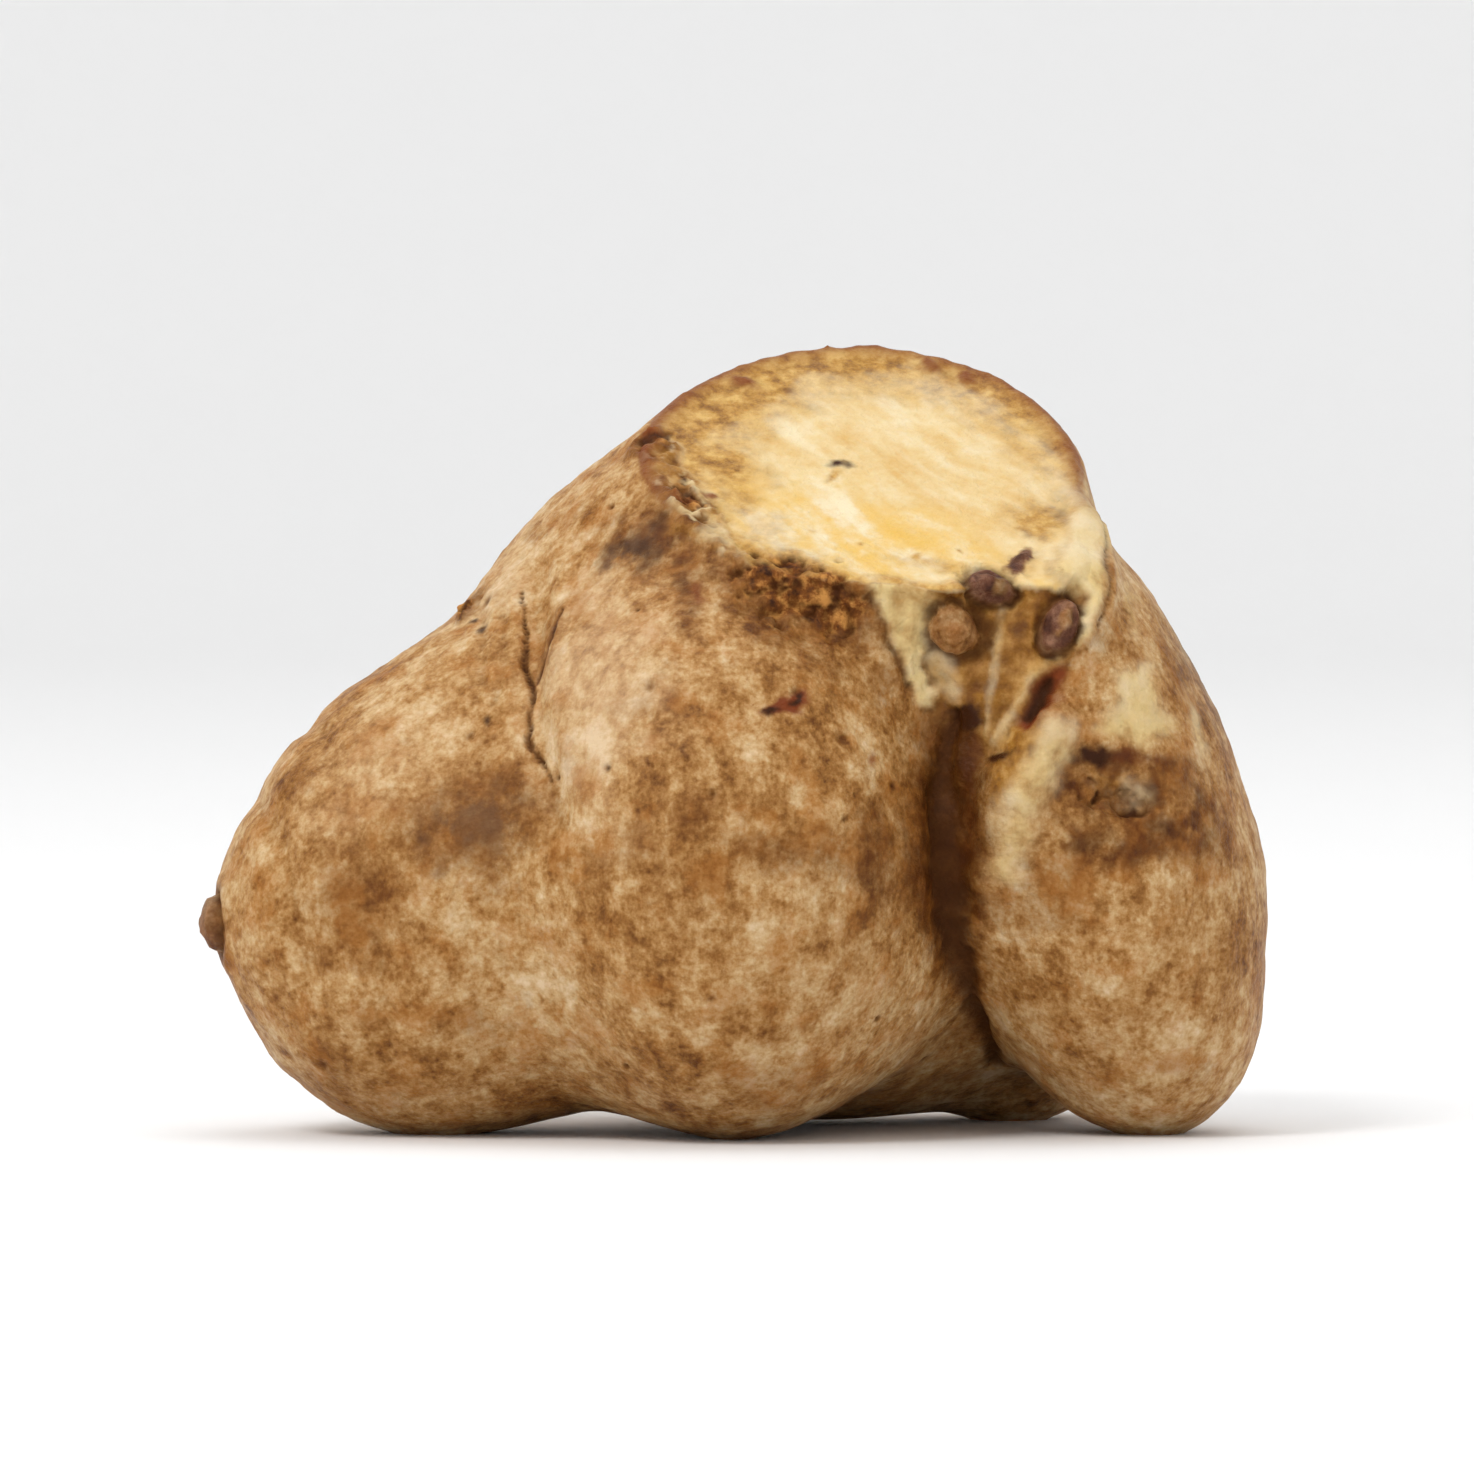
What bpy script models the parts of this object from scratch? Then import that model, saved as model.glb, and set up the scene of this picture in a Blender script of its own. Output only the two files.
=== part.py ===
"""A Jerusalem artichoke tuber: one knobbly solid whose top branch was cut off, lying on low points.

X runs to the right, Y away from the front, Z up. Sizes in the tables are in millimetres.
The tuber is one distance field: lobes and tapering knobs blend into each other, with grooves, ridges,
rings, eyes and scars on the skin. A voxel skin round the lobes is drawn onto the field, and the knife
then takes the top off.
"""

from collections import namedtuple
from math import radians

import bmesh
import bpy
import numpy as np
from mathutils import Euler, Matrix, Vector

MM = 0.001

# How fine the skin is: the voxels that join the lobes, how often the skin is made anew, the passes
# that draw it onto the field, and the number of triangles that the finished solid may have.
VOXEL = 0.6
ROUNDS = 2
PASSES = 8
TRIANGLES = 9600

# The knife's cut through the top branch: a point of the cut face and the way that it faces.
CUT_POINT = (8.6, -3.0, 44.9)
CUT_NORMAL = (0.07, -0.56, 0.83)

# The lowest skin is worn flat at this height, which is where the tuber rests.
FLOOR = 0.45

SKIN_COLOUR = (0.40, 0.22, 0.09, 1.0)
SKIN_ROUGHNESS = 0.55

# A lobe is an ellipsoid: its middle, its three radii, its turn about X, Y and Z in degrees, and how
# widely it blends into the lobes before it.
Lobe = namedtuple("Lobe", "middle radii turn blend")
LOBES = {
    "heart": Lobe((0.5, 1, 21), (20, 16, 19), (0, 0, 0), 0),
    "shoulder": Lobe((-5, 3, 32), (19, 13.5, 13.3), (0, -46, 0), 6),
    "limb_root": Lobe((-13, -0.5, 18.8), (15.5, 13.5, 15), (0, 30, 0), 6),
    "left_limb": Lobe((-21.2, -2, 15.0), (14.1, 12.5, 14.8), (0, 0, 0), 6),
    "front_lobe": Lobe((-1.8, -8.6, 19), (14, 14.5, 18.6), (0, -4, 0), 5),
    "branch": Lobe((7.6, 2.9, 36.8), (15.4, 15.6, 23), (34, 4, 0), 5),
    "back_lobe": Lobe((4, 11.5, 19.3), (17, 12, 18.2), (0, 8, 0), 7),
    "right_lobe": Lobe((21.2, -2, 21.9), (11.6, 14, 22.8), (0, -19, 0), 1.5),
}

# A knob tapers along its points, each given as its place and its radius.
Knob = namedtuple("Knob", "points blend")
KNOBS = {
    "back_knob": Knob(((-8, 8, 24, 10.5), (-12.5, 14.5, 27.6, 8), (-15.5, 18.6, 30, 5.2)), 5),
    "low_knob": Knob(((12, 10, 13.4, 12), (17.6, 14.2, 9.1, 9), (21.5, 17, 8.2, 5.5)), 5),
    "limb_tip": Knob(((-23.6, -3, 16, 11), (-28.8, -4.2, 15, 5.2)), 4),
}

# The ways that skin is looked at to find a point on it: where the look comes from, and the two axes
# that a mark's place is measured along.
SIDES = {
    "front": ((0, -1, 0), (0, 2)),
    "back": ((0, 1, 0), (0, 2)),
    "left": ((-1, 0, 0), (1, 2)),
    "right": ((1, 0, 0), (1, 2)),
    "under": ((0, 0, -1), (0, 1)),
}

# A ridge or a groove follows the skin: the side it is on, its points there, each with its radius, how
# far its line lies under the skin, and how softly it blends.
Line = namedtuple("Line", "side points depth blend")
RIDGES = {
    "left_bud_band": Line("front", ((12.6, 37.5, 2.8), (13.4, 32.5, 2.1), (14.9, 27.6, 0.9)), 1.5, 1.4),
    "right_bud_band": Line("front", ((19.0, 37, 3.0), (17.8, 32, 2.2), (15.9, 27.4, 0.9)), 1.7, 1.4),
    "right_rim": Line(
        "front", ((22.0, 41, 1.3), (22.8, 37.5, 1.4), (22.2, 34, 1.2), (20.8, 31, 0.8)), 0.7, 1.2
    ),
    "low_ridge": Line("front", ((19.4, 28.2, 1.6), (17.4, 24, 2.0), (15.8, 18, 1.9), (15, 11, 1)), 0.9, 1.6),
}
GROOVES = {
    "slit": Line("front", ((20.4, 30.8, 0.6), (18.8, 28.6, 1.0), (16.6, 26.2, 0.8)), 0.2, 1.0),
    "root_pit": Line("front", ((20.8, 25.2, 1.6), (24.6, 23.6, 2.0)), -0.6, 1.4),
    "root_scar": Line("front", ((0.4, 36.4, 1.4), (3.6, 35.4, 2.0), (7.0, 34.2, 1.4)), -0.9, 1.0),
    "leaf_scar": Line(
        "front", ((-14.3, 38, 0.7), (-14.6, 33.3, 0.9), (-14.4, 27.6, 0.9), (-12.6, 22, 0.7)), -0.3, 1.2
    ),
    "stolon_scar": Line("right", ((4.5, 28, 1.6), (6.5, 25.5, 1.9), (8.0, 23.5, 1.4)), -0.8, 1.2),
}

# A ring is the scar of a leaf that went round a knob: a middle, the way its plane faces, how far it
# reaches from the middle, its half width and its depth.
Ring = namedtuple("Ring", "middle facing reach width depth")
RINGS = {
    "back_knob_low": Ring((-12.6, 14.4, 27.6), (-0.5, 0.74, 0.46), 11, 0.7, 0.5),
    "back_knob_high": Ring((-14.6, 17.9, 30.0), (-0.5, 0.74, 0.46), 9, 0.6, 0.45),
    "limb": Ring((-27.0, -3.4, 15.6), (-0.96, -0.2, -0.17), 14, 0.8, 0.4),
    "limb_end": Ring((-31.2, -4.4, 15.0), (-0.96, -0.2, -0.17), 9, 0.6, 0.35),
    "low_knob": Ring((18.5, 15.3, 10.8), (0.65, 0.68, -0.3), 11, 0.7, 0.45),
}

# An eye is a bud in a leaf's old scar: its side and place, how far it reaches across and up, and how it
# leans. Its middle lies under the skin, so that only a low dome stands out.
Eye = namedtuple("Eye", "side place radii lean")
EYE_SINK = 1.1
EYE_DEPTH = 1.9
EYE_BLEND = 0.7
EYES = {
    "round_eye": Eye("front", (13.4, 34.0), (2.0, 2.4), 0),
    "dark_eye": Eye("front", (16.6, 37.0), (2.4, 1.8), 25),
    "rim_eye": Eye("front", (20.6, 34.4), (1.8, 2.8), -18),
    "back_knob_bud": Eye("back", (-16.6, 31.2), (2.5, 2.3), 0),
    "low_knob_bud": Eye("back", (22.6, 9.6), (2.4, 2.1), 0),
    "limb_bud": Eye("left", (-4.6, 14.6), (2.1, 2.3), 0),
    "back_eye": Eye("back", (9.0, 36.0), (2.6, 1.9), 20),
}


def clear_scene():
    for obj in list(bpy.data.objects):
        bpy.data.objects.remove(obj, do_unlink=True)


def lobe_distance(lobe, points):
    """How far each point is from the lobe's surface, near enough; it is below 0 inside."""
    turn = np.array(Euler([radians(angle) for angle in lobe.turn]).to_matrix())
    radii = np.array(lobe.radii, float)
    local = (points - np.array(lobe.middle)) @ turn
    near = np.linalg.norm(local / radii, axis=1)
    steep = np.linalg.norm(local / radii**2, axis=1)
    return near * (near - 1) / np.maximum(steep, 1e-9)


def bar_distance(bar, points):
    """The distance from a round bar that tapers from each of its points to the next."""
    nearest = np.full(len(points), 1e3)
    for (start, first), (end, last) in zip(bar, bar[1:]):
        along = end - start
        share = np.clip((points - start) @ along / (along @ along), 0, 1)
        away = np.linalg.norm(points - start - share[:, None] * along, axis=1)
        nearest = np.minimum(nearest, away - first - share * (last - first))
    return nearest


def knob_bar(knob):
    return [(np.array(place, float), radius) for *place, radius in knob.points]


def soft_minimum(a, b, blend):
    """The smaller of a and b, with the crease between them filled over the blend's width."""
    if not blend:
        return np.minimum(a, b)
    near = np.maximum(blend - np.abs(a - b), 0) / blend
    return np.minimum(a, b) - near * near * blend / 4


def body_field(points):
    """The distance from the blended lobes and knobs alone."""
    distance = np.full(len(points), 1e3)
    for lobe in LOBES.values():
        distance = soft_minimum(distance, lobe_distance(lobe, points), lobe.blend)
    for knob in KNOBS.values():
        distance = soft_minimum(distance, bar_distance(knob_bar(knob), points), knob.blend)
    return distance


def on_skin(surface, side, place):
    """The point of the surface, a field, that is seen from that side at that place."""
    outward, axes = SIDES[side]
    outward = np.array(outward, float)
    point = 60.0 * outward
    point[list(axes)] = place
    for _ in range(200):
        point -= outward * surface(point[None])[0] * 0.8
    return point


def line_bar(line):
    """The line's points under the skin, and its radius at each."""
    outward = np.array(SIDES[line.side][0], float)
    starts = [(on_skin(body_field, line.side, (a, b)), radius) for a, b, radius in line.points]
    return [(start - outward * line.depth, radius) for start, radius in starts]


def ring_depth(ring, points):
    """How deep the ring's groove is at each point."""
    facing = np.array(ring.facing) / np.linalg.norm(ring.facing)
    away = points - np.array(ring.middle)
    inside = np.clip(ring.reach - np.linalg.norm(away, axis=1), 0, 1)
    return ring.depth * inside * np.exp(-((away @ facing / ring.width) ** 2))


RIDGE_BARS = [(line_bar(line), line.blend) for line in RIDGES.values()]
GROOVE_BARS = [(line_bar(line), line.blend) for line in GROOVES.values()]


def lined_field(points):
    """The body's distance with its rings, grooves and ridges."""
    distance = body_field(points)
    for ring in RINGS.values():
        distance += ring_depth(ring, points)
    for bar, blend in GROOVE_BARS:
        distance = -soft_minimum(-distance, bar_distance(bar, points), blend)
    for bar, blend in RIDGE_BARS:
        distance = soft_minimum(distance, bar_distance(bar, points), blend)
    return distance


def eye_lobe(eye):
    """The eye as a small ellipsoid whose middle is sunk in the skin."""
    across, up = eye.radii
    radii = (EYE_DEPTH, across, up) if eye.side == "left" else (across, EYE_DEPTH, up)
    middle = on_skin(lined_field, eye.side, eye.place) - EYE_SINK * np.array(SIDES[eye.side][0])
    return Lobe(tuple(middle), radii, (0, eye.lean, 0), EYE_BLEND)


EYE_LOBES = [eye_lobe(eye) for eye in EYES.values()]


def field(points):
    """The whole tuber's distance at each point, before the knife."""
    distance = lined_field(points)
    for lobe in EYE_LOBES:
        distance = soft_minimum(distance, lobe_distance(lobe, points), lobe.blend)
    return distance


def slope(points, step=0.05):
    """The way that the field rises at each point."""
    sides = [field(points + step * axis) - field(points - step * axis) for axis in np.eye(3)]
    rise = np.stack(sides, axis=1)
    return rise / np.maximum(np.linalg.norm(rise, axis=1, keepdims=True), 1e-9)


def settle(mesh):
    """Draws the vertices onto the tuber's surface, and in each pass evens them out a little first."""
    flat = np.empty(len(mesh.vertices) * 3)
    mesh.vertices.foreach_get("co", flat)
    points = flat.reshape(-1, 3) / MM
    ends = np.empty(len(mesh.edges) * 2, int)
    mesh.edges.foreach_get("vertices", ends)
    ends = ends.reshape(-1, 2)
    neighbours = np.bincount(ends.ravel(), minlength=len(points))[:, None]
    for _ in range(PASSES):
        total = np.zeros_like(points)
        np.add.at(total, ends[:, 0], points[ends[:, 1]])
        np.add.at(total, ends[:, 1], points[ends[:, 0]])
        points += 0.5 * (total / neighbours - points)
        for _ in range(2):
            points -= field(points)[:, None] * slope(points)
    mesh.vertices.foreach_set("co", (points * MM).ravel())
    mesh.update()


def ball(middle, radii, turn):
    """A ball pulled out to the radii and set in its place, as a mesh."""
    sphere = bmesh.new()
    bmesh.ops.create_icosphere(sphere, subdivisions=4, radius=MM)
    turned = Euler([radians(angle) for angle in turn]).to_matrix().to_4x4()
    sphere.transform(Matrix.Translation(Vector(middle) * MM) @ turned @ Matrix.Diagonal((*radii, 1.0)))
    mesh = bpy.data.meshes.new("ball")
    sphere.to_mesh(mesh)
    sphere.free()
    return mesh


def all_balls():
    """A ball for each lobe and for each point of each knob."""
    balls = [ball(lobe.middle, lobe.radii, lobe.turn) for lobe in LOBES.values()]
    for knob in KNOBS.values():
        balls += [ball(place, (radius,) * 3, (0, 0, 0)) for *place, radius in knob.points]
    return balls


def reskin(tuber):
    """Replaces the object's mesh by one even skin round all that it holds."""
    skin = tuber.modifiers.new("one skin", "REMESH")
    skin.mode = "VOXEL"
    skin.voxel_size = VOXEL * MM
    graph = bpy.context.evaluated_depsgraph_get()
    tuber.data = bpy.data.meshes.new_from_object(tuber.evaluated_get(graph))
    tuber.modifiers.clear()


def grow(collection):
    """The tuber with no cut."""
    joined = bmesh.new()
    for mesh in all_balls():
        joined.from_mesh(mesh)
        bpy.data.meshes.remove(mesh)
    mesh = bpy.data.meshes.new("tuber")
    joined.to_mesh(mesh)
    joined.free()
    tuber = bpy.data.objects.new("tuber", mesh)
    collection.objects.link(tuber)
    for _ in range(ROUNDS):
        reskin(tuber)
        settle(tuber.data)
    return tuber


def skin_material():
    material = bpy.data.materials.new("tuber skin")
    material.use_nodes = True
    shader = material.node_tree.nodes["Principled BSDF"]
    shader.inputs["Base Color"].default_value = SKIN_COLOUR
    shader.inputs["Roughness"].default_value = SKIN_ROUGHNESS
    shader.inputs["Metallic"].default_value = 0.0
    return material


def slab(name, point, normal, collection):
    """A cutter: a thick square slab whose underside lies at the point, facing against the normal."""
    size, thick = 120 * MM, 40 * MM
    box = bmesh.new()
    bmesh.ops.create_cube(box, size=1.0)
    box.transform(Matrix.Diagonal((size, size, thick, 1.0)))
    box.transform(Matrix.Translation((0, 0, thick / 2)))
    mesh = bpy.data.meshes.new(name)
    box.to_mesh(mesh)
    box.free()
    cutter = bpy.data.objects.new(name, mesh)
    cutter.location = Vector(point) * MM
    cutter.rotation_euler = Vector(normal).to_track_quat("Z", "Y").to_euler()
    cutter.hide_render = True
    cutter.display_type = "WIRE"
    collection.objects.link(cutter)
    return cutter


def cut(tuber, cutter):
    knife = tuber.modifiers.new(cutter.name, "BOOLEAN")
    knife.operation = "DIFFERENCE"
    knife.object = cutter


def stand_on_origin(tuber, cutters):
    """Moves it all so that the middle of the solid's underside box is the origin."""
    bpy.context.view_layer.update()
    solid = tuber.evaluated_get(bpy.context.evaluated_depsgraph_get())
    corners = np.array([solid.matrix_world @ Vector(corner) for corner in solid.bound_box])
    low, high = corners.min(axis=0), corners.max(axis=0)
    middle = Vector(((low[0] + high[0]) / 2, (low[1] + high[1]) / 2, low[2]))
    for obj in (tuber, *cutters.objects):
        obj.location -= middle


def main():
    clear_scene()
    artichoke = bpy.data.collections.new("jerusalem_artichoke")
    cutters = bpy.data.collections.new("cutters")
    for collection in (artichoke, cutters):
        bpy.context.scene.collection.children.link(collection)
    tuber = grow(artichoke)
    tuber.data.materials.append(skin_material())
    cut(tuber, slab("top_cut", CUT_POINT, CUT_NORMAL, cutters))
    thin = tuber.modifiers.new("fewer faces", "DECIMATE")
    thin.ratio = TRIANGLES / (2 * len(tuber.data.polygons))
    cut(tuber, slab("rest", (0, 0, FLOOR), (0, 0, -1), cutters))
    stand_on_origin(tuber, cutters)


main()
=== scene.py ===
"""The looks of the Jerusalem artichoke: its fine skin, its cut face, a plain floor and soft light.

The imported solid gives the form. A fine skin is made round it, relief is worked into that skin by
formula, and point attributes tell one material where flesh, scars, stains and hollows are. Places on
the tuber are in millimetres in the frame's own axes, as seen from the side that their mark names.
"""

from math import cos, pi, radians, sin

import bmesh
import bpy
import numpy as np
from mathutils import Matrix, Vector, noise
from mathutils.bvhtree import BVHTree


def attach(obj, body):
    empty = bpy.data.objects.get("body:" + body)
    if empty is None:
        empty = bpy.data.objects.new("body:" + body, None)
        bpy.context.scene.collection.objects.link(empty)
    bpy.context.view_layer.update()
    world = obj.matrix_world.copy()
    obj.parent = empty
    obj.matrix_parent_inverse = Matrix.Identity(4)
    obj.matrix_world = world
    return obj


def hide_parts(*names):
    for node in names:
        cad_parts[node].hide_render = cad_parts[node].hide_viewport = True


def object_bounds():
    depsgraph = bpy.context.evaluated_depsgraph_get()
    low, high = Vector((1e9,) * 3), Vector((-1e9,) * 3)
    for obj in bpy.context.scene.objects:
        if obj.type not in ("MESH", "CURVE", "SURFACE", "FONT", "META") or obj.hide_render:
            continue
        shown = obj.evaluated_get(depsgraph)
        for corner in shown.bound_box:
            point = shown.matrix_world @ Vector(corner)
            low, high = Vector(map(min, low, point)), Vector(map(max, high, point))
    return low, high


MM = 0.001
NODE = "tuber"
RANDOM_SEED = 11

# The fine skin: its voxels in mm, the rounds that even out the solid's facets and the cut's edge, and
# the spans of (low, high) corners in mm where its faces are split once more: for the eyes and scabs
# below the cut, the torn rim on its left, the speck on it and the crease beside the limb.
VOXEL = 0.46
EVENING_ROUNDS = 8
EDGE_ROUNDS = 110
FINER_SPANS = (
    ((-9, -30, 21), (25.5, -1, 40.5)),
    ((-9, -30, 40.5), (1, -1, 48)),
    ((5, -30, 42.8), (8.6, -1, 45.8)),
    ((-19, -30, 22.5), (-10, -1, 38)),
)

# The way that the knife's flat face looks, as on the solid, and the way that its fibres run.
CUT_NORMAL = np.array((0.07, -0.56, 0.83)) / np.linalg.norm((0.07, -0.56, 0.83))
FIBRE_WAY = np.array((0.62, -0.64, -0.45))

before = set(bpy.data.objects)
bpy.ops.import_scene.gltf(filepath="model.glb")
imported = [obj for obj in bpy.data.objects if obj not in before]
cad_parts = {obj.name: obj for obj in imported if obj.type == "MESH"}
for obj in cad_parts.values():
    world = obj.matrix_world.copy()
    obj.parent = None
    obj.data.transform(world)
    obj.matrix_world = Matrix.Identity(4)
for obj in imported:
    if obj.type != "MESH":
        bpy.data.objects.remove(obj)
CAD_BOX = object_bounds()


# -------- small sums


def smoothstep(low, high, values):
    """0 at low and 1 at high, with a soft start and end, also where low is the higher."""
    share = np.clip((values - low) / (high - low), 0, 1)
    return share * share * (3 - 2 * share)


def unit(vectors):
    return vectors / np.maximum(np.linalg.norm(vectors, axis=-1, keepdims=True), 1e-12)


def hill(values, width):
    """1 where the value is 0, falling away over the width."""
    return np.exp(-((values / width) ** 2))


def cloud(points, size, octaves, seed):
    """Noise between about -1 and 1 at each point, with lumps of that size in mm."""
    shift = Vector((seed * 17.3, seed * -9.1, seed * 5.7))
    return np.array([noise.fractal(Vector(p) / size + shift, 1.0, 2.0, octaves) for p in points])


def crumbs(points, size, seed):
    """0 in the cracks between crumbs of that size, rising to about 1 inside each crumb."""
    steepness = 1.6
    shift = Vector((seed * 3.1, seed * 7.7, seed * -4.3))
    gaps = [noise.voronoi(Vector(p) / size + shift)[0] for p in points]
    return np.clip(np.array([gap[1] - gap[0] for gap in gaps]) * steepness, 0, 1)


# -------- the fine skin

MASKS = (
    "flesh", "rim", "yolk", "cream", "gold", "brown", "patch", "pale",
    "dark", "grey", "red", "scab", "hollow", "bud",
)

# Points less than so many mm below the cut's plane, or above the floor, belong to it.
CUT_BAND = 0.12
FLOOR_BAND = 0.05
# The share of the way to its neighbours' average that a value moves in one round.
EASE = 0.5
# The cut's edge is where the softened cut face lies between these, and it is smoothed by turns
# inwards and outwards.
EDGE_BAND = (0.01, 0.97)
EDGE_TURNS = (0.5, -0.52)
# What sends the marks' edges astray: the size of its lumps and its reach in mm, and three seeds.
SWAYS = (
    (2.6, 0.55, (81, 82, 83)),
    (0.8, 0.22, (84, 85, 86)),
)


def fine_copy():
    """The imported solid's mesh again, as one even fine skin."""
    mesh = bpy.data.meshes.new("tuber_skin")
    shell = bmesh.new()
    shell.from_mesh(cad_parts[NODE].data)
    bmesh.ops.remove_doubles(shell, verts=shell.verts, dist=1e-6)
    shell.to_mesh(mesh)
    shell.free()
    piece = bpy.data.objects.new("tuber_skin", mesh)
    bpy.context.scene.collection.objects.link(piece)
    remesh = piece.modifiers.new("fine skin", "REMESH")
    remesh.mode = "VOXEL"
    remesh.voxel_size = VOXEL * MM
    graph = bpy.context.evaluated_depsgraph_get()
    piece.data = bpy.data.meshes.new_from_object(piece.evaluated_get(graph))
    piece.data.name = "tuber_skin"
    piece.modifiers.clear()
    split_faces(piece.data)
    return piece


def split_faces(mesh):
    """Splits the faces in the spans that need finer detail, and leaves the rest as they are."""
    fine = bmesh.new()
    fine.from_mesh(mesh)
    edges = set()
    for low, high in FINER_SPANS:
        for vert in fine.verts:
            if all(low[i] * MM < vert.co[i] <= high[i] * MM for i in range(3)):
                edges.update(vert.link_edges)
    bmesh.ops.subdivide_edges(fine, edges=list(edges), cuts=1, use_grid_fill=True)
    bmesh.ops.triangulate(fine, faces=fine.faces)
    fine.to_mesh(mesh)
    fine.free()


class Skin:
    """The fine skin's points in mm, their normals, and what has been worked into them."""

    def __init__(self, piece):
        self.mesh = piece.data
        self.points = self.read("co") / MM
        ends = np.empty(len(self.mesh.edges) * 2, int)
        self.mesh.edges.foreach_get("vertices", ends)
        self.ends = ends.reshape(-1, 2)
        self.links = np.bincount(self.ends.ravel(), minlength=len(self.points))
        self.masks = {name: np.zeros(len(self.points)) for name in MASKS}
        self.lift = np.zeros(len(self.points))

    def read(self, what):
        flat = np.empty(len(self.mesh.vertices) * 3, np.float32)
        self.mesh.vertices.foreach_get(what, flat)
        return flat.reshape(-1, 3).astype(float)

    def write(self):
        self.mesh.vertices.foreach_set("co", (self.points * MM).astype(np.float32).ravel())
        self.mesh.update()
        self.normals = self.read("normal")

    def around(self, values, ends):
        """The sum of each point's neighbours along those edges."""
        total = np.zeros_like(values)
        np.add.at(total, ends[:, 0], values[ends[:, 1]])
        np.add.at(total, ends[:, 1], values[ends[:, 0]])
        return total

    def evened(self, values, rounds=1):
        """Moves each point's value towards its neighbours' average, in so many rounds."""
        links = self.links if values.ndim == 1 else self.links[:, None]
        for _ in range(rounds):
            values = values + EASE * (self.around(values, self.ends) / links - values)
        return values

    def cut_share(self, rounds):
        """1 on the cut face and 0 off it, softened in so many rounds."""
        return self.evened(self.on_cut.astype(float), rounds)

    def cut_middle(self):
        return self.points[self.on_cut].mean(axis=0)

    def even_out(self):
        """Smooths away the facets, and keeps the cut face and the resting flats flat."""
        height = self.points @ CUT_NORMAL
        cut_height = height.max()
        self.on_cut = height > cut_height - CUT_BAND
        floor = self.points[:, 2].min()
        on_floor = self.points[:, 2] < floor + FLOOR_BAND
        for _ in range(EVENING_ROUNDS):
            self.points = self.evened(self.points)
            drop = cut_height - self.points[self.on_cut] @ CUT_NORMAL
            self.points[self.on_cut] += drop[:, None] * CUT_NORMAL
            self.points[on_floor, 2] = floor
        edge = self.cut_share(8)
        self.even_band((edge > EDGE_BAND[0]) & (edge < EDGE_BAND[1]))
        self.write()
        faces = [tuple(face.vertices) for face in self.mesh.polygons]
        self.tree = BVHTree.FromPolygons([Vector(p) for p in self.points], faces)
        self.bent = self.points
        for size, reach, seeds in SWAYS:
            sway = np.stack([cloud(self.points, size, 2, seed) for seed in seeds], axis=1)
            self.bent = self.bent + reach * sway

    def even_band(self, band):
        """Smooths a band of points by turns inwards and outwards, so that it doesn't shrink."""
        ends = self.ends[band[self.ends].any(axis=1)]
        for step in EDGE_TURNS * EDGE_ROUNDS:
            average = self.around(self.points, ends)[band] / self.links[band, None]
            self.points[band] += step * (average - self.points[band])

    def find(self, side, across, up):
        """The point of the skin that is seen from that side at that place, and the normal there."""
        outward, axes = SIDES[side]
        start = WELL_OUTSIDE * np.array(outward, float)
        start[axes[0]], start[axes[1]] = across, up
        hit, normal, _, _ = self.tree.ray_cast(Vector(start), -Vector(outward))
        if hit is None:
            hit, normal, _, _ = self.tree.find_nearest(Vector(start * (1 - np.abs(outward))))
        return np.array(hit), np.array(normal)

    def near(self, middle, reach):
        return np.flatnonzero(np.linalg.norm(self.points - middle, axis=1) < reach)

    def paint(self, name, amount):
        """Raises a mask to the amount wherever that is more than it has."""
        self.masks[name] = np.maximum(self.masks[name], np.clip(amount, 0, 1))

    def raise_by(self, amount):
        """Adds to the relief, in mm outwards."""
        self.lift += amount


# -------- shapes on the skin

# Where a mark is seen from, and the two axes that its place is measured along.
SIDES = {
    "front": ((0, -1, 0), (0, 2)),
    "back": ((0, 1, 0), (0, 2)),
    "left": ((-1, 0, 0), (1, 2)),
    "right": ((1, 0, 0), (1, 2)),
    "under": ((0, 0, -1), (0, 1)),
}
WELL_OUTSIDE = 200
# How far out a point counts that a mark doesn't reach.
FAR_OUT = 9.0
# How squarely the skin faces a side where an outline starts to cover it, and where it does so fully.
FACING = (0.02, 0.2)
# The steps along a stroke, in mm.
STROKE_STEP = 0.25


def oval(skin, side, place, radii, lean, ragged=0, size=1.2, seed=0):
    """How far out each point is in an oval on the skin: 0 at its middle, 1 at its ragged edge."""
    middle, normal = skin.find(side, *place)
    across = np.zeros(3)
    across[SIDES[side][1][0]] = 1
    across = unit(across - across @ normal * normal)
    up = np.cross(normal, across)
    up *= np.sign(up[SIDES[side][1][1]])
    turn = radians(lean)
    long, short = across * cos(turn) + up * sin(turn), up * cos(turn) - across * sin(turn)
    out = np.full(len(skin.points), FAR_OUT)
    near = skin.near(middle, 2.4 * max(radii) + 1.5)
    away = (skin.bent if ragged else skin.points)[near] - middle
    out[near] = np.hypot(away @ long / radii[0], away @ short / radii[1])
    out[near] += np.maximum(np.abs(away @ normal) - max(radii), 0)
    if ragged:
        out[near] += ragged * cloud(skin.points[near], size, 3, seed)
    return out


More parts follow.
